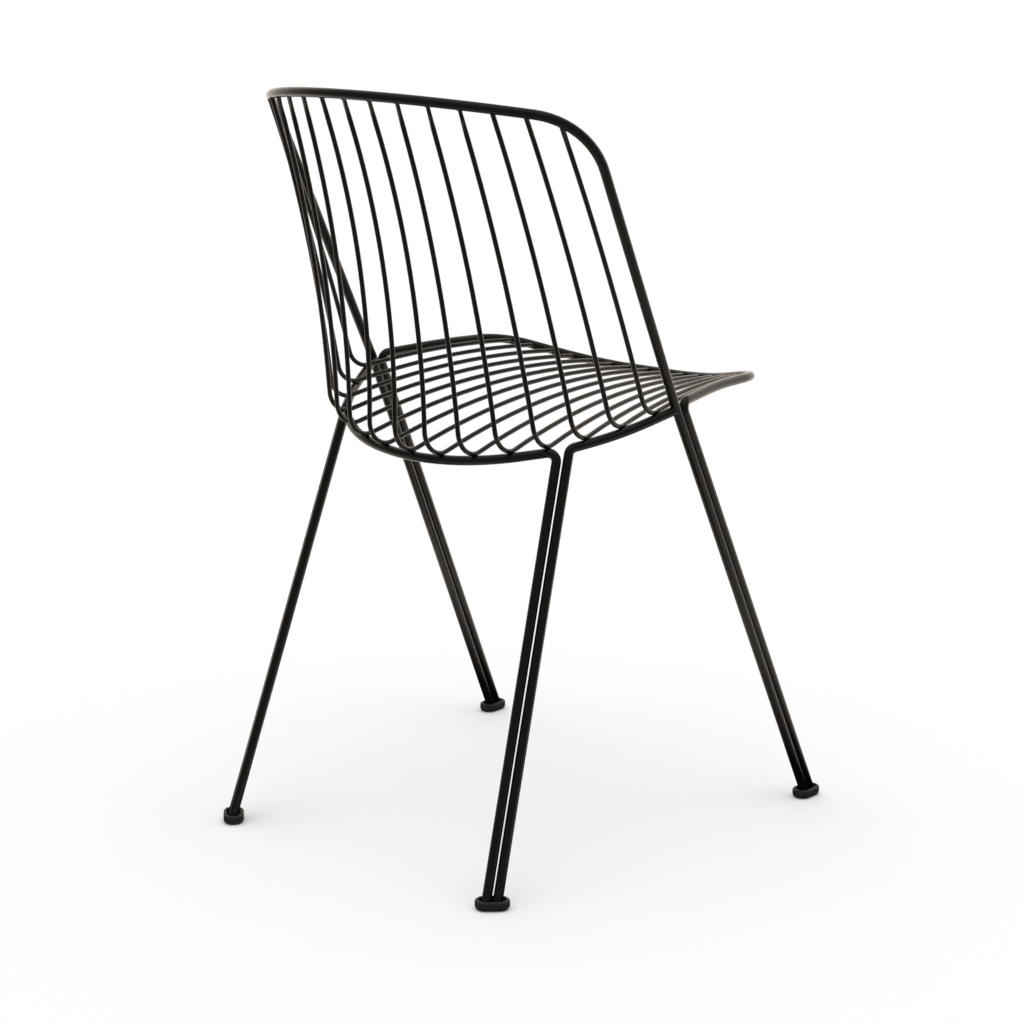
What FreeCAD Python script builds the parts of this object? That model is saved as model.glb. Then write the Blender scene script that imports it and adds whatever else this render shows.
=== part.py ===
"""Stacking side chair bent from steel rod, with fifteen wires that form the back and the seat.

Millimetres. X runs across the chair, the sitter faces -Y, Z is up, and the origin is on the
floor under the middle of the chair. The two halves mirror each other in the YZ plane.

The frame is five bent rods: a hoop that is both front legs, the uprights and the top rail; a
rear ring rod and two side rods that are the rear legs and carry the wires round the seat; and
a front ring rod, the second rod of each front leg, that closes the seat in front. Every wire
hangs from the rail, bends over the ring and ends on the front rod.
"""
import FreeCAD, Part
import Sketcher
import math
import os

Vec = FreeCAD.Vector

# name, value, what it is. Points are on the +X half of a rod's centre line.
SIZES = [
    ("rod_diameter", 10.0, "frame rods"),
    ("wire_diameter", 5.0, "back and seat wires"),
    ("leg_bend_radius", 8.6, "tight bend from the seat into a leg"),
    ("joint_x", 213.8, "upright meets front leg, beside the seat"),
    ("joint_y", -12.2, ""),
    ("joint_z", 475.0, ""),
    ("joint_radius", 60.0, "slight bend at that point"),
    ("corner_x", 217.0, "virtual corner between the upright and the top rail"),
    ("corner_y", 130.1, ""),
    ("corner_z", 768.8, ""),
    ("corner_radius", 84.1, ""),
    ("rail_apex_y", 344.5, "where the tangents of the top rail cross, behind the back"),
    ("rail_apex_z", 810.9, ""),
    ("rail_straight", 0.4, "between the corner's bend and the top rail's"),
    ("front_foot_x", 234.4, "front leg's axis at the floor"),
    ("front_foot_y", -236.1, ""),
    ("rear_foot_x", 184.7, "rear leg's axis at the floor"),
    ("rear_foot_y", 245.8, ""),
    ("ring_apex_y", 152.9, "rear ring rod, virtual corner in the middle of the back"),
    ("ring_apex_z", 416.9, ""),
    ("ring_straight", 3.4, "between the middle's bend and the shoulder's"),
    ("shoulder_x", 84.3, "rear ring rod, corner beside the middle"),
    ("shoulder_y", 140.2, ""),
    ("shoulder_z", 421.8, ""),
    ("shoulder_radius", 186.0, ""),
    ("ring_end_x", 150.2, "rear ring rod, corner over its leg"),
    ("ring_end_y", 95.8, ""),
    ("ring_end_z", 435.1, ""),
    ("rear_pair_gap", 1.1, "between the two rods of a rear leg"),
    ("rear_pair_angle", 43.0, "of that pair, in plan, from the X axis"),
    ("side_start_z", 437.7, "side rod, height of the corner over its leg"),
    ("side_mid_x", 189.3, "side rod, corner beside the seat"),
    ("side_mid_y", 43.9, ""),
    ("side_mid_z", 449.7, ""),
    ("side_radius", 302.0, ""),
    ("side_end_drop", 5.8, "side rod's end, below the joint along the front leg"),
    ("front_pair_gap", 0.05, "between the two rods of a front leg"),
    ("front_start_drop", 3.8, "front ring rod's corner, below the joint along the leg"),
    ("front_side_x", 196.5, "front ring rod, corner beside the seat"),
    ("front_side_y", -108.3, ""),
    ("front_side_z", 479.5, ""),
    ("front_side_radius", 520.0, ""),
    ("front_corner_x", 184.9, "front ring rod, corner of the seat"),
    ("front_corner_y", -197.2, ""),
    ("front_corner_z", 477.2, ""),
    ("front_corner_radius", 60.8, ""),
    ("front_edge_x", 78.0, "front ring rod, corner in the front edge"),
    ("front_edge_y", -243.5, ""),
    ("front_edge_z", 452.5, ""),
    ("front_edge_radius", 215.0, ""),
    ("rail_wire_pitch", 31.75, "wires along the top rail"),
    ("rail_last_pitch", 34.4, "from the last but one wire to the outermost"),
    ("ring_wire_overrun", 2.24, "last wire on the rear ring rod, past the start of its leg bend"),
    ("side_wire_pitch", 38.75, "wires along a side rod"),
    ("side_wire_start", 17.4, "first wire on a side rod, from its corner over the leg"),
    ("front_wire_pitch", 25.5, "wires along the front ring rod"),
    ("wire_bend_radius", 27.0, "bend between back and seat"),
    ("wire_seat_angle", 86.5, "where on the bend a wire rests on the ring"),
    ("weld_sink", 0.7, "how far a wire is pressed into the ring rod"),
    ("flush_inset", 0.05, "wire inside the rear face of the top rail"),
    ("front_wire_rise", 0.5, "wire's axis over the front rod's axis"),
    ("seat_bow_radius", 1020.0, "crown of the seat wires, front to rear"),
    ("back_bow_0", 800.0, "bow of the back wires, from the middle wire outwards"),
    ("back_bow_1", 835.0, ""),
    ("back_bow_2", 1140.0, ""),
    ("back_bow_3", 1350.0, ""),
    ("back_bow_4", 1540.0, ""),
    ("back_bow_5", 1680.0, ""),
    ("back_bow_6", 1890.0, ""),
    ("back_bow_7", 2180.0, ""),
    ("glide_end_wall", 7.1, "plastic glide, from a rod to its rounded end"),
    ("glide_side_wall", 6.0, "from a rod to its flat side"),
    ("glide_height", 10.0, ""),
    ("glide_floor", 3.0, "plastic under the rod ends"),
    ("glide_rim", 3.4, "wall round the cup in its top"),
    ("glide_cup_depth", 5.2, ""),
    ("glide_lower_round", 4.5, ""),
    ("glide_upper_round", 2.2, "outside of the rim"),
]

doc = FreeCAD.newDocument("wire_chair")
sheet = doc.addObject("Spreadsheet::Sheet", "Sizes")
for row, (name, value, note) in enumerate(SIZES, start=1):
    sheet.set("A%d" % row, name)
    sheet.set("B%d" % row, str(value))
    sheet.set("C%d" % row, note)
    sheet.setAlias("B%d" % row, name)
doc.recompute()


def size(name):
    """A value of the sheet."""
    return float(sheet.get(name))


def point(name):
    """A point of the sheet, from its three coordinates."""
    return Vec(size(name + "_x"), size(name + "_y"), size(name + "_z"))


def mirrored(p):
    """The same point on the other half of the chair."""
    return Vec(-p.x, p.y, p.z)


def unit(v):
    """The direction of a vector."""
    return v * (1.0 / v.Length)


def across(v, axis):
    """The direction of what is left of v square to an axis."""
    return unit(v - axis * v.dot(axis))


def turn_at(before, corner, after):
    """The angle by which a route turns at a corner."""
    return math.pi - (before - corner).getAngle(after - corner)


def bend_length(before, corner, after, radius):
    """How far from a corner its bend starts and ends."""
    return radius * math.tan(turn_at(before, corner, after) / 2)


class Route:
    """A rod's centre line: straight runs through points, with an arc tangent at each corner."""

    def __init__(self, points, radii):
        self.edges = []
        self.corner_ends = []
        self.tangents = []
        start = points[0]
        for before, corner, after, radius in zip(points, points[1:], points[2:], radii):
            back = unit(before - corner)
            ahead = unit(after - corner)
            tangent = bend_length(before, corner, after, radius)
            enter = corner + back * tangent
            leave = corner + ahead * tangent
            rise = radius / math.cos(turn_at(before, corner, after) / 2) - radius
            middle = corner + unit(back + ahead) * rise
            self.add_line(start, enter)
            self.edges.append(Part.Arc(enter, middle, leave).toShape())
            self.tangents.append(tangent)
            self.corner_ends.append(self.length())
            start = leave
        self.add_line(start, points[-1])

    def add_line(self, start, end):
        """A straight run, left out where two arcs meet end to end."""
        if (end - start).Length > 0.01:
            self.edges.append(Part.LineSegment(start, end).toShape())

    def length(self):
        """The length so far."""
        return sum(edge.Length for edge in self.edges)

    def at(self, distance):
        """The point and direction at a distance along the route."""
        for edge in self.edges:
            if distance <= edge.Length:
                break
            distance -= edge.Length
        where = edge.getParameterByLength(distance)
        return edge.valueAt(where), unit(edge.tangentAt(where))

    def from_middle(self, distance):
        """The same, measured from the middle of a symmetric route."""
        return self.at(self.length() / 2 + distance)


def section_turn(direction):
    """The rotation that lays a circle square to a direction."""
    return FreeCAD.Rotation(Vec(0, 0, 1), direction)


def swept(label, route, diameter):
    """A round rod or wire, swept along a route. Its section is bound to the sheet."""
    path = doc.addObject("Part::Feature", label + "_route")
    path.Shape = Part.Wire(route.edges)
    start, direction = route.at(0.0)
    section = doc.addObject("Part::Circle", label + "_section")
    section.Placement = FreeCAD.Placement(start, section_turn(direction))
    section.setExpression("Radius", "Sizes.%s / 2" % diameter)
    sweep = doc.addObject("Part::Sweep", label + "_sweep")
    sweep.Sections = [section]
    sweep.Spine = (path, ["Edge%d" % (n + 1) for n in range(len(route.edges))])
    sweep.Solid = True
    sweep.Frenet = False
    sweep.Transition = "Transformed"
    sweep.Label = label
    return sweep


def cut(label, base, tools):
    """A piece coped to the pieces that it meets."""
    for number, tool in enumerate(tools, start=1):
        result = doc.addObject("Part::Cut", "%s_cope_%d" % (label, number))
        base.Label = "%s_before_%d" % (label, number)
        result.Base = base
        result.Tool = tool
        result.Label = label
        base = result
    return base


# The centre lines. A leg runs from its rod end inside the glide up to the seat.
rod = size("rod_diameter")
wire = size("wire_diameter")
leg_radius = size("leg_bend_radius")

joint = point("joint")
corner = point("corner")
rail_apex = Vec(0, size("rail_apex_y"), size("rail_apex_z"))
front_foot = Vec(size("front_foot_x"), size("front_foot_y"), 0)
front_leg = unit(front_foot - joint)

ring_end = point("ring_end")
shoulder = point("shoulder")
ring_apex = Vec(0, size("ring_apex_y"), size("ring_apex_z"))
rear_foot = Vec(size("rear_foot_x"), size("rear_foot_y"), 0)
rear_leg = unit(rear_foot - ring_end)


def down_leg(start, leg, height):
    """The point at a height on a leg's axis."""
    return start + leg * ((height - start.z) / leg.z)


pair_angle = math.radians(size("rear_pair_angle"))
rear_pair = across(Vec(math.cos(pair_angle), -math.sin(pair_angle), 0), rear_leg)
front_pair = across(Vec(0, -1, 0), front_leg)
side_axis = ring_end + rear_pair * (rod + size("rear_pair_gap"))
side_start = down_leg(side_axis, rear_leg, size("side_start_z"))
side_mid = point("side_mid")
side_end = joint + front_leg * size("side_end_drop")
front_axis = joint + front_pair * (rod + size("front_pair_gap"))
front_start = front_axis + front_leg * size("front_start_drop")
front_side = point("front_side")
front_corner = point("front_corner")
front_edge = point("front_edge")
rod_end = size("glide_floor")


def symmetric(points, radii):
    """A route from a half's points, foot first, over the middle to the mirrored foot."""
    return Route([mirrored(p) for p in points] + points[::-1], radii + radii[::-1])


def symmetric_over(apex, straight, points, radii):
    """The same with a bend in the middle, as large as leaves a straight beside the next bend."""
    last = points[-1]
    run = (apex - last).Length - bend_length(points[-2], last, apex, radii[-1]) - straight
    apex_radius = run / math.tan(turn_at(last, apex, mirrored(last)) / 2)
    centre = [mirrored(p) for p in points] + [apex] + points[::-1]
    return Route(centre, radii + [apex_radius] + radii[::-1])


hoop_route = symmetric_over(
    rail_apex, size("rail_straight"),
    [down_leg(joint, front_leg, rod_end), joint, corner],
    [size("joint_radius"), size("corner_radius")])
ring_route = symmetric_over(
    ring_apex, size("ring_straight"),
    [down_leg(ring_end, rear_leg, rod_end), ring_end, shoulder],
    [leg_radius, size("shoulder_radius")])
front_route = symmetric(
    [down_leg(front_start, front_leg, rod_end), front_start, front_side, front_corner, front_edge],
    [leg_radius, size("front_side_radius"), size("front_corner_radius"), size("front_edge_radius")])
side_points = [down_leg(side_start, rear_leg, rod_end), side_start, side_mid, side_end]
side_radii = [leg_radius, size("side_radius")]
side_route = Route(side_points, side_radii)

hoop = swept("hoop_rod", hoop_route, "rod_diameter")
rear_ring = swept("rear_ring_rod", ring_route, "rod_diameter")
front_ring = swept("front_ring_rod", front_route, "rod_diameter")
side_rods = {}
for side, flip in (("right", mirrored), ("left", lambda p: p)):
    label = "side_rod_" + side
    route = Route([flip(p) for p in side_points], side_radii)
    side_rods[side] = cut(label, swept(label, route, "rod_diameter"), [hoop])


def crossing(centre_a, radius_a, centre_b, radius_b, lowest_of):
    """Of the two points where circles cross in a plane, the one with the lower coordinate."""
    gap = (centre_b[0] - centre_a[0], centre_b[1] - centre_a[1])
    span = math.hypot(*gap)
    along = (radius_a ** 2 - radius_b ** 2 + span ** 2) / (2 * span)
    aside = math.sqrt(radius_a ** 2 - along ** 2)
    foot = (centre_a[0] + along * gap[0] / span, centre_a[1] + along * gap[1] / span)
    normal = (-gap[1] / span * aside, gap[0] / span * aside)
    both = [(foot[0] + normal[0], foot[1] + normal[1]), (foot[0] - normal[0], foot[1] - normal[1])]
    return min(both, key=lambda spot: spot[lowest_of])


def toward(centre, other, distance):
    """The point at a distance from one point of the plane toward another."""
    span = math.hypot(other[0] - centre[0], other[1] - centre[1])
    return tuple(a + (b - a) * distance / span for a, b in zip(centre, other))


def arc_middle(centre, start, end):
    """The middle of the short arc about a centre between two points of the plane."""
    radius = math.hypot(start[0] - centre[0], start[1] - centre[1])
    chord = ((start[0] + end[0]) / 2, (start[1] + end[1]) / 2)
    return toward(centre, chord, radius)


def wire_route(top, rest, front, bow):
    """A wire's centre line: three arcs in the plane through its top, its rest and its front end.

    The back bows forward, a bend rolls over the ring rod, and the seat crowns upward.
    """
    normal = unit((top - rest).cross(front - rest))
    up = across(Vec(0, 0, 1), normal)
    ahead = normal.cross(up)
    if ahead.dot(front - rest) < 0:
        ahead = ahead * -1
    lean = math.radians(size("wire_seat_angle"))
    lift = up * math.sin(lean) + ahead * math.cos(lean)
    origin = rest + lift * ((rod + wire) / 2 - size("weld_sink"))
    high = ((top - origin).dot(ahead), (top - origin).dot(up))
    far = ((front - origin).dot(ahead), (front - origin).dot(up))
    bend = size("wire_bend_radius")
    crown = size("seat_bow_radius")
    hub = (bend * math.cos(lean), bend * math.sin(lean))
    back_hub = crossing(hub, bend + bow, high, bow, 0)
    seat_hub = crossing(hub, bend + crown, far, crown, 1)
    back_end = toward(hub, back_hub, bend)
    seat_end = toward(hub, seat_hub, bend)

    def spot(flat):
        return origin + ahead * flat[0] + up * flat[1]

    arcs = [
        (high, arc_middle(back_hub, high, back_end), back_end),
        (back_end, arc_middle(hub, back_end, seat_end), seat_end),
        (seat_end, arc_middle(seat_hub, seat_end, far), far),
    ]
    route = Route.__new__(Route)
    route.edges = [Part.Arc(*[spot(flat) for flat in arc]).toShape() for arc in arcs]
    return route


# The wires, counted from the middle wire: negative to the sitter's right.
OUTERMOST = 7
LAST_ON_RING = 4
side_corner = side_route.corner_ends[0] - side_route.tangents[0]
ring_reach = ring_route.length() / 2 - ring_route.corner_ends[0]
ring_wire_pitch = (ring_reach + size("ring_wire_overrun")) / LAST_ON_RING
wires = []
for step in range(-OUTERMOST, OUTERMOST + 1):
    number = step + OUTERMOST + 1
    count = abs(step)
    hand = -1 if step < 0 else 1
    turn_over = mirrored if step < 0 else (lambda p: p)

    along_rail = min(count, OUTERMOST - 1) * size("rail_wire_pitch")
    if count == OUTERMOST:
        along_rail += size("rail_last_pitch")
    rail_point, rail_way = hoop_route.from_middle(along_rail)
    outward = unit(rail_way.cross(Vec(0, 0, 1)))
    if outward.y < 0:
        outward = outward * -1
    top = rail_point + outward * ((rod - wire) / 2 - size("flush_inset"))

    if count <= LAST_ON_RING:
        rest = ring_route.from_middle(count * ring_wire_pitch)[0]
        seat_rod = rear_ring
    else:
        beyond = size("side_wire_start") + (count - LAST_ON_RING - 1) * size("side_wire_pitch")
        rest = side_route.at(side_corner + beyond)[0]
        seat_rod = side_rods["right" if step < 0 else "left"]

    front = front_route.from_middle(count * size("front_wire_pitch"))[0]
    front = front + Vec(0, 0, size("front_wire_rise"))
    ends = [turn_over(p) for p in (top, rest, front)]
    route = wire_route(ends[0], ends[1], ends[2], size("back_bow_%d" % count))
    label = "wire_%02d" % number
    wires.append(cut(label, swept(label, route, "wire_diameter"), [hoop, seat_rod, front_ring]))


def slot_sketch(body, label, inset, level):
    """A slot-shaped outline round a pair of rods, at a level of a body, all sizes bound."""
    plane = [f for f in body.Origin.OriginFeatures if f.Role == "XY_Plane"][0]
    sketch = body.newObject("Sketcher::SketchObject", label)
    sketch.AttachmentSupport = (plane, [""])
    sketch.MapMode = "FlatFace"
    sketch.setExpression("AttachmentOffset.Base.z", level)
    half = (rod + size("rear_pair_gap")) / 2 + size("glide_end_wall") - size("glide_side_wall")
    radius = rod / 2 + size("glide_side_wall") - inset
    quarter = math.pi / 2
    z = Vec(0, 0, 1)
    sketch.addGeometry([
        Part.ArcOfCircle(Part.Circle(Vec(half, 0, 0), z, radius), -quarter, quarter),
        Part.LineSegment(Vec(half, radius, 0), Vec(-half, radius, 0)),
        Part.ArcOfCircle(Part.Circle(Vec(-half, 0, 0), z, radius), quarter, 3 * quarter),
        Part.LineSegment(Vec(-half, -radius, 0), Vec(half, -radius, 0)),
    ], False)
    add = sketch.addConstraint
    add(Sketcher.Constraint("Tangent", 0, 2, 1, 1))
    add(Sketcher.Constraint("Tangent", 1, 2, 2, 1))
    add(Sketcher.Constraint("Tangent", 2, 2, 3, 1))
    add(Sketcher.Constraint("Tangent", 3, 2, 0, 1))
    add(Sketcher.Constraint("Symmetric", 0, 3, 2, 3, -1, 1))
    add(Sketcher.Constraint("PointOnObject", 0, 3, -1))
    add(Sketcher.Constraint("Radius", 0, radius))
    sketch.renameConstraint(sketch.ConstraintCount - 1, "end_radius")
    add(Sketcher.Constraint("DistanceX", 2, 3, 0, 3, 2 * half))
    sketch.renameConstraint(sketch.ConstraintCount - 1, "centres")
    sketch.setExpression(
        "Constraints.end_radius",
        "Sizes.rod_diameter / 2 + Sizes.glide_side_wall" + (" - Sizes.glide_rim" if inset else ""))
    sketch.setExpression(
        "Constraints.centres",
        "Sizes.rod_diameter + Sizes.rear_pair_gap"
        " + 2 * Sizes.glide_end_wall - 2 * Sizes.glide_side_wall")
    return sketch


def glide(label, first, second, leg, tools):
    """A plastic glide under a pair of rods: a cup, with a socket in its bottom for each rod."""
    body = doc.addObject("PartDesign::Body", label + "_body")
    pad = body.newObject("PartDesign::Pad", label + "_pad")
    pad.Profile = slot_sketch(body, label + "_outline", 0.0, "0 mm")
    pad.setExpression("Length", "Sizes.glide_height")
    doc.recompute()
    previous = pad
    for level, name in ((0.0, "glide_lower_round"), (size("glide_height"), "glide_upper_round")):
        rim = ["Edge%d" % n for n, edge in enumerate(previous.Shape.Edges, start=1)
               if all(abs(v.Z - level) < 1e-6 for v in edge.Vertexes)]
        fillet = body.newObject("PartDesign::Fillet", label + "_" + name)
        fillet.Base = (previous, rim)
        fillet.setExpression("Radius", "Sizes." + name)
        doc.recompute()
        previous = fillet
    solid = previous.Shape.Volume
    inner = slot_sketch(
        body, label + "_cup_outline", size("glide_rim"), "Sizes.glide_height")
    cup = body.newObject("PartDesign::Pocket", label + "_cup")
    cup.Profile = inner
    cup.setExpression("Length", "Sizes.glide_cup_depth")
    doc.recompute()
    reach = rod / 2 + size("glide_side_wall") - size("glide_rim")
    apart = rod + size("rear_pair_gap") + 2 * size("glide_end_wall") - 2 * size("glide_side_wall")
    hollow = (math.pi * reach ** 2 + 2 * apart * reach) * size("glide_cup_depth")
    if abs(solid - cup.Shape.Volume - hollow) > 0.01 * hollow:
        raise RuntimeError("%s has a cup of %.0f mm3" % (label, solid - cup.Shape.Volume))
    body.Tip = cup
    spots = [down_leg(p, leg, size("glide_height")) for p in (first, second)]
    middle = (spots[0] + spots[1]) * 0.5
    way = spots[1] - spots[0]
    turn = FreeCAD.Rotation(Vec(0, 0, 1), math.degrees(math.atan2(way.y, way.x)))
    body.Placement = FreeCAD.Placement(Vec(middle.x, middle.y, 0), turn)
    return cut(label, body, tools)


glides = []
for side, flip in (("right", mirrored), ("left", lambda p: p)):
    glides.append(glide("front_glide_" + side, flip(joint), flip(front_start), flip(front_leg),
                        [hoop, front_ring]))
    glides.append(glide("rear_glide_" + side, flip(ring_end), flip(side_start), flip(rear_leg),
                        [rear_ring, side_rods[side]]))

doc.recompute()

pieces = [hoop, rear_ring, front_ring, side_rods["right"], side_rods["left"]] + wires + glides
for item in doc.Objects:
    if "Invalid" in item.State or "Error" in item.State:
        raise RuntimeError("%s failed: %s" % (item.Label, item.State))

os.makedirs("parts", exist_ok=True)
for piece in pieces:
    shape = piece.Shape
    if shape.isNull() or not shape.isValid():
        raise RuntimeError("%s has no valid shape" % piece.Label)
    if len(shape.Solids) != 1:
        raise RuntimeError("%s is %d solids" % (piece.Label, len(shape.Solids)))
    shape.exportStep("parts/%s.step" % piece.Label)
    print("%-18s %9.1f mm3" % (piece.Label, shape.Volume))
for name, route in (("hoop", hoop_route), ("rear ring", ring_route), ("front ring", front_route)):
    full = route.length() * math.pi * rod ** 2 / 4
    print("%s: %.1f mm long, %.1f mm3 in full" % (name, route.length(), full))
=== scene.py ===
"""Stacking side chair: black powder-coated steel rod and wire, on dark nylon glides.

Metres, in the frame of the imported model: the sitter faces -Y, Z is up, the floor is Z = 0.
"""
import math

import bmesh
import bpy
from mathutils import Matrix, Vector

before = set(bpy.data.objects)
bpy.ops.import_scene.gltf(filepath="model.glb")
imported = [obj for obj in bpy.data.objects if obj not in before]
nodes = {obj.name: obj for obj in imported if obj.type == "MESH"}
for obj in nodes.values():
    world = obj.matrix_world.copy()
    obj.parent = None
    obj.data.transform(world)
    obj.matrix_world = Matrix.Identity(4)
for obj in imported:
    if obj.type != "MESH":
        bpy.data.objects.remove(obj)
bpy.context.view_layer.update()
scene = bpy.context.scene
scene.view_settings.view_transform = "Standard"

# Camera. A long lens off the chair's right rear corner, just above the height of its back and
# 2.7 m away, looking slightly down on to the seat.
LENS_MM = 89.13
SENSOR_MM = 36.0
CAMERA_AT = Vector((-1.75176, 1.99533, 0.97704))
CAMERA_YAW = 2.42255
CAMERA_PITCH = -0.238607
FAR_CLIP = 200.0

looking = Vector((
    math.sin(CAMERA_YAW) * math.cos(CAMERA_PITCH),
    math.cos(CAMERA_YAW) * math.cos(CAMERA_PITCH),
    math.sin(CAMERA_PITCH)))
camera = bpy.data.objects.new("camera", bpy.data.cameras.new("camera"))
camera.data.lens = LENS_MM
camera.data.sensor_width = SENSOR_MM
camera.data.clip_end = FAR_CLIP
camera.location = CAMERA_AT
camera.rotation_mode = "QUATERNION"
camera.rotation_quaternion = looking.to_track_quat("-Z", "Y")
scene.collection.objects.link(camera)
scene.camera = camera

# Studio room. A photographer's white cove: plain white light on the chair, a white backdrop,
# and a gradient that only gloss shows, bright beyond the chair and dim on the near side.
COVE_LIGHT = 0.5
COVE_TINT = (1.0, 0.9, 0.8)
GLOSS_DIM = 0.17
GLOSS_BRIGHT = 1.3
GLOSS_TURN = math.radians(15.0)
GLOSS_ACROSS = [
    (0.25, 0.0), (0.41, 0.02), (0.5, 0.06), (0.63, 0.2), (0.75, 0.5), (0.85, 0.73), (0.93, 0.91),
    (1.0, 1.0)]
GLOSS_OVERHEAD = [(0.55, 0.0), (0.8, 0.28), (1.0, 0.35)]


class Sock:
    """An output socket that adds Math nodes when it stands in an expression."""

    def __init__(self, tree, socket):
        self.tree = tree
        self.socket = socket

    def __add__(self, other):
        return self.tree.node("Math", {"operation": "ADD"}, {0: self, 1: other})

    def __sub__(self, other):
        return self.tree.node("Math", {"operation": "SUBTRACT"}, {0: self, 1: other})

    def __rsub__(self, other):
        return self.tree.node("Math", {"operation": "SUBTRACT"}, {0: other, 1: self})

    def __mul__(self, other):
        return self.tree.node("Math", {"operation": "MULTIPLY"}, {0: self, 1: other})

    __radd__ = __add__
    __rmul__ = __mul__


class Tree:
    """The shader nodes of a material or of the room."""

    def __init__(self, owner):
        owner.use_nodes = True
        self.nodes = owner.node_tree.nodes
        self.links = owner.node_tree.links
        self.nodes.clear()

    def node(self, kind, settings=None, sockets=None, give=0):
        """Adds a node, its settings first and then its sockets, and gives one output of it."""
        node = self.nodes.new("ShaderNode" + kind)
        for name, value in (settings or {}).items():
            if name == "stops":
                ramp = node.color_ramp.elements
                ramp.remove(ramp[1])
                for place, share in value:
                    stop = ramp.new(place)
                    stop.color = (share, share, share, 1.0)
                ramp.remove(ramp[0])
            else:
                setattr(node, name, value)
        for name, value in (sockets or {}).items():
            if isinstance(value, Sock):
                self.links.new(value.socket, node.inputs[name])
            else:
                node.inputs[name].default_value = value
        return Sock(self, node.outputs[give]) if node.outputs else None


def tinted(colour, level):
    """A colour at a level, with its alpha."""
    return tuple(part * level for part in colour) + (1.0,)


def gloss_share(tree, direction):
    """How bright the room's gradient is in a direction, from 0 at its dim end to 1."""
    across = tree.node(
        "VectorMath", {"operation": "DOT_PRODUCT"}, {0: direction, 1: bright_side}, "Value")
    height = tree.node("SeparateXYZ", None, {0: direction}, "Z")
    wall = tree.node("ValToRGB", {"stops": GLOSS_ACROSS}, {0: across * 0.5 + 0.5})
    ceiling = tree.node("ValToRGB", {"stops": GLOSS_OVERHEAD}, {0: height})
    return tree.node("Math", {"operation": "MAXIMUM"}, {0: wall, 1: ceiling})


ahead = Vector((looking.x, looking.y, 0.0)).normalized()
aside = ahead.cross(Vector((0.0, 0.0, 1.0)))
bright_side = ahead * math.cos(GLOSS_TURN) + aside * math.sin(GLOSS_TURN)

world = bpy.data.worlds.new("white_cove")
scene.world = world
tree = Tree(world)
share = gloss_share(tree, tree.node("TexCoord", None, None, "Generated"))
dim = tree.node("Background", None, {"Color": tinted(COVE_TINT, GLOSS_DIM)})
bright = tree.node("Background", None, {"Color": tinted(COVE_TINT, GLOSS_BRIGHT)})
gloss = tree.node("MixShader", None, {0: share, 1: dim, 2: bright})
plain = tree.node("Background", None, {"Color": tinted((1.0, 1.0, 1.0), COVE_LIGHT)})
white = tree.node("Background", None, {"Color": (1.0, 1.0, 1.0, 1.0)})
seen = tree.node("LightPath", None, None, "Is Camera Ray")
through = tree.node("LightPath", None, None, "Is Transmission Ray")
mirrored = tree.node("LightPath", None, None, "Is Glossy Ray")
shown = tree.node("MixShader", None, {0: mirrored, 1: plain, 2: gloss})
shown = tree.node("MixShader", None, {0: seen + through, 1: shown, 2: white})
tree.node("OutputWorld", None, {"Surface": shown})

# Floor. Matt white board, wide enough to fill the picture, with the chair's soft shadow on it.
# In gloss it shows a painted glow, lit beyond the chair and dim before it, with painted shade in
# a dark patch about each pair of rod ends, and it passes into the cove's gradient further out.
FLOOR_HALF = 40.0
FLOOR_COLOUR = 0.8
FLOOR_SHOWN = 1.0
SHEEN_TURN = 0.25
SHEEN_REACH = 1.0
SHEEN_ACROSS = [
    (0.0, 0.02), (0.12, 0.12), (0.3, 0.33), (0.47, 0.48), (0.55, 0.7), (0.65, 0.85), (1.0, 1.0)]
SHEEN_SCALE = 0.25
SHEEN_FADE = [(0.33, 0.0), (0.8, 1.0)]
SHADE_PATCH_MIDDLE = (0.242, 0.241, 0.0)
SHADE_PATCH_FADE = [(0.06, 0.0), (0.13, 0.35), (0.25, 1.0)]

floor_mesh = bpy.data.meshes.new("floor")
board = bmesh.new()
bmesh.ops.create_grid(board, x_segments=1, y_segments=1, size=FLOOR_HALF)
board.to_mesh(floor_mesh)
board.free()
floor = bpy.data.objects.new("floor", floor_mesh)
scene.collection.objects.link(floor)
matt_white = bpy.data.materials.new("matt_white_board")
tree = Tree(matt_white)
place = tree.node("TexCoord", None, None, "Object")
distance = tree.node("VectorMath", {"operation": "LENGTH"}, {0: place}, "Value")
direction = tree.node("VectorMath", {"operation": "NORMALIZE"}, {0: place}, "Vector")
away = tree.node("ValToRGB", {"stops": SHEEN_FADE}, {0: distance * SHEEN_SCALE})
beyond = tree.node("VectorMath", {"operation": "DOT_PRODUCT"}, {
    0: place, 1: ahead + aside * SHEEN_TURN}, "Value")
near = tree.node(
    "ValToRGB", {"stops": SHEEN_ACROSS}, {0: beyond * (0.5 / SHEEN_REACH) + 0.5})
share = near + (gloss_share(tree, direction) - near) * away
# Painted shade: the floor's glow fades to black in a patch about each pair of rod ends, darkest
# at the feet.
quarter = tree.node("VectorMath", {"operation": "ABSOLUTE"}, {0: place}, "Vector")
clear = tree.node("VectorMath", {"operation": "DISTANCE"}, {0: quarter, 1: SHADE_PATCH_MIDDLE}, "Value")
lit = tree.node("ValToRGB", {"stops": SHADE_PATCH_FADE}, {0: clear})
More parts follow.
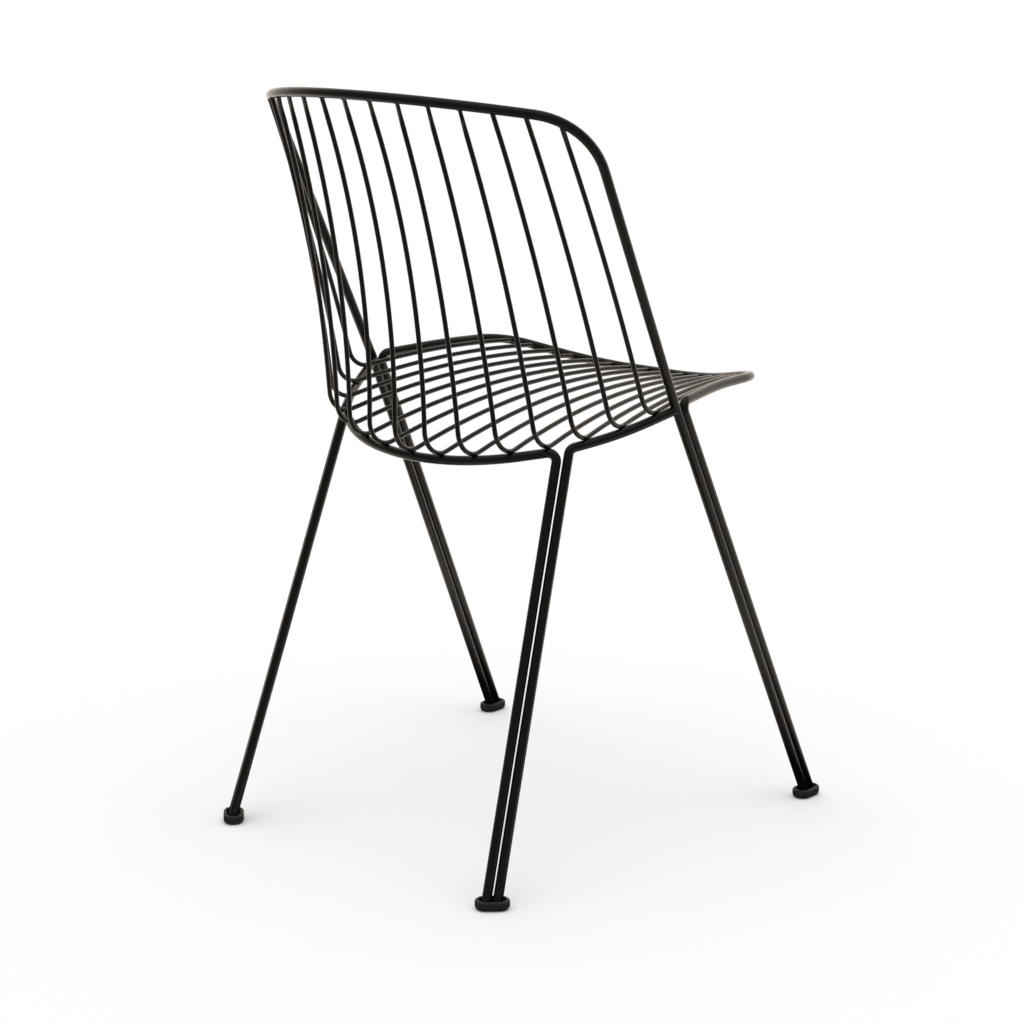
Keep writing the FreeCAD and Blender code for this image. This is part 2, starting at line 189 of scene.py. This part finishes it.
# Painted glow: the floor gives off this light only to glossy rays, as a painted reflection.
unlit = tree.node("Emission", None, {"Color": tinted(COVE_TINT, 0.0)})
dim = tree.node("Emission", None, {"Color": tinted(COVE_TINT, GLOSS_DIM)})
bright = tree.node("Emission", None, {"Color": tinted(COVE_TINT, GLOSS_BRIGHT)})
sheen = tree.node("MixShader", None, {0: share, 1: dim, 2: bright})
sheen = tree.node("MixShader", None, {0: lit, 1: unlit, 2: sheen})
matt = tree.node("BsdfDiffuse", None, {"Color": tinted((1.0, 1.0, 1.0), FLOOR_COLOUR)})
white = tree.node("BsdfDiffuse", None, {"Color": tinted((1.0, 1.0, 1.0), FLOOR_SHOWN)})
seen = tree.node("LightPath", None, None, "Is Camera Ray")
through = tree.node("LightPath", None, None, "Is Transmission Ray")
mirrored = tree.node("LightPath", None, None, "Is Glossy Ray")
shown = tree.node("MixShader", None, {0: seen + through, 1: matt, 2: white})
shown = tree.node("MixShader", None, {0: mirrored, 1: shown, 2: sheen})
tree.node("OutputMaterial", None, {"Surface": shown})
floor.data.materials.append(matt_white)

# Lamp. One wide, soft light straight above the chair, as even all over the floor as a ceiling.
LAMP_SPREAD = math.radians(75.0)
LAMP_STRENGTH = 1.6
LAMP_HEIGHT = 3.0

lamp = bpy.data.objects.new("soft_ceiling", bpy.data.lights.new("soft_ceiling", "SUN"))
lamp.data.angle = LAMP_SPREAD
lamp.data.energy = LAMP_STRENGTH
lamp.location = (0.0, 0.0, LAMP_HEIGHT)
lamp.visible_glossy = False
scene.collection.objects.link(lamp)

# Rods and wires. Steel rod of 10 mm and wire of 5 mm, bent cold, welded, blasted and
# powder-coated black in one piece, so the coat is glossy, with a faint ripple.
COAT_BLACK = (0.0032, 0.003, 0.0028, 1.0)
COAT_IOR = 1.5
RIPPLE_SCALE = 900.0
RIPPLE_DETAIL = 2.0
RIPPLE_HEIGHT = 0.00005
RIPPLE_STRENGTH = 0.2
CLOUD_SCALE = 35.0
CLOUD_DETAIL = 3.0
GLOSS_ROUGHNESS = 0.12
CLOUD_ROUGHNESS = 0.06
RODS = ["hoop_rod", "rear_ring_rod", "front_ring_rod", "side_rod_right", "side_rod_left"]
WIRE_COUNT = 15
WIRES = ["wire_%02d" % number for number in range(1, WIRE_COUNT + 1)]

black_coat = bpy.data.materials.new("black_powder_coat")
tree = Tree(black_coat)
place = tree.node("TexCoord", None, None, "Object")
ripple = tree.node("TexNoise", None, {
    "Vector": place, "Scale": RIPPLE_SCALE, "Detail": RIPPLE_DETAIL})
cloud = tree.node("TexNoise", None, {
    "Vector": place, "Scale": CLOUD_SCALE, "Detail": CLOUD_DETAIL})
relief = tree.node("Bump", None, {
    "Height": ripple, "Distance": RIPPLE_HEIGHT, "Strength": RIPPLE_STRENGTH})
coat = tree.node("BsdfPrincipled", None, {
    "Base Color": COAT_BLACK, "IOR": COAT_IOR, "Normal": relief,
    "Roughness": GLOSS_ROUGHNESS + cloud * CLOUD_ROUGHNESS})
tree.node("OutputMaterial", None, {"Surface": coat})
for name in RODS + WIRES:
    member = nodes[name]
    member.data.materials.clear()
    member.data.materials.append(black_coat)

# Glides. Four cups moulded in dark nylon with a spark-eroded grain, pressed on to each pair of
# rod ends. They carry the chair and keep the steel off the floor.
NYLON_GREY = (0.02, 0.0175, 0.016, 1.0)
GRAIN_SCALE = 1400.0
GRAIN_DETAIL = 3.0
GRAIN_HEIGHT = 0.00012
GRAIN_STRENGTH = 0.4
NYLON_ROUGHNESS = 0.5
GRAIN_ROUGHNESS = 0.2
GLIDES = ["front_glide_right", "front_glide_left", "rear_glide_right", "rear_glide_left"]

grained_nylon = bpy.data.materials.new("grained_nylon")
tree = Tree(grained_nylon)
place = tree.node("TexCoord", None, None, "Object")
grain = tree.node("TexNoise", None, {
    "Vector": place, "Scale": GRAIN_SCALE, "Detail": GRAIN_DETAIL})
relief = tree.node("Bump", None, {
    "Height": grain, "Distance": GRAIN_HEIGHT, "Strength": GRAIN_STRENGTH})
nylon = tree.node("BsdfPrincipled", None, {
    "Base Color": NYLON_GREY, "Normal": relief,
    "Roughness": NYLON_ROUGHNESS + grain * GRAIN_ROUGHNESS})
tree.node("OutputMaterial", None, {"Surface": nylon})
for name in GLIDES:
    glide = nodes[name]
    glide.data.materials.clear()
    glide.data.materials.append(grained_nylon)
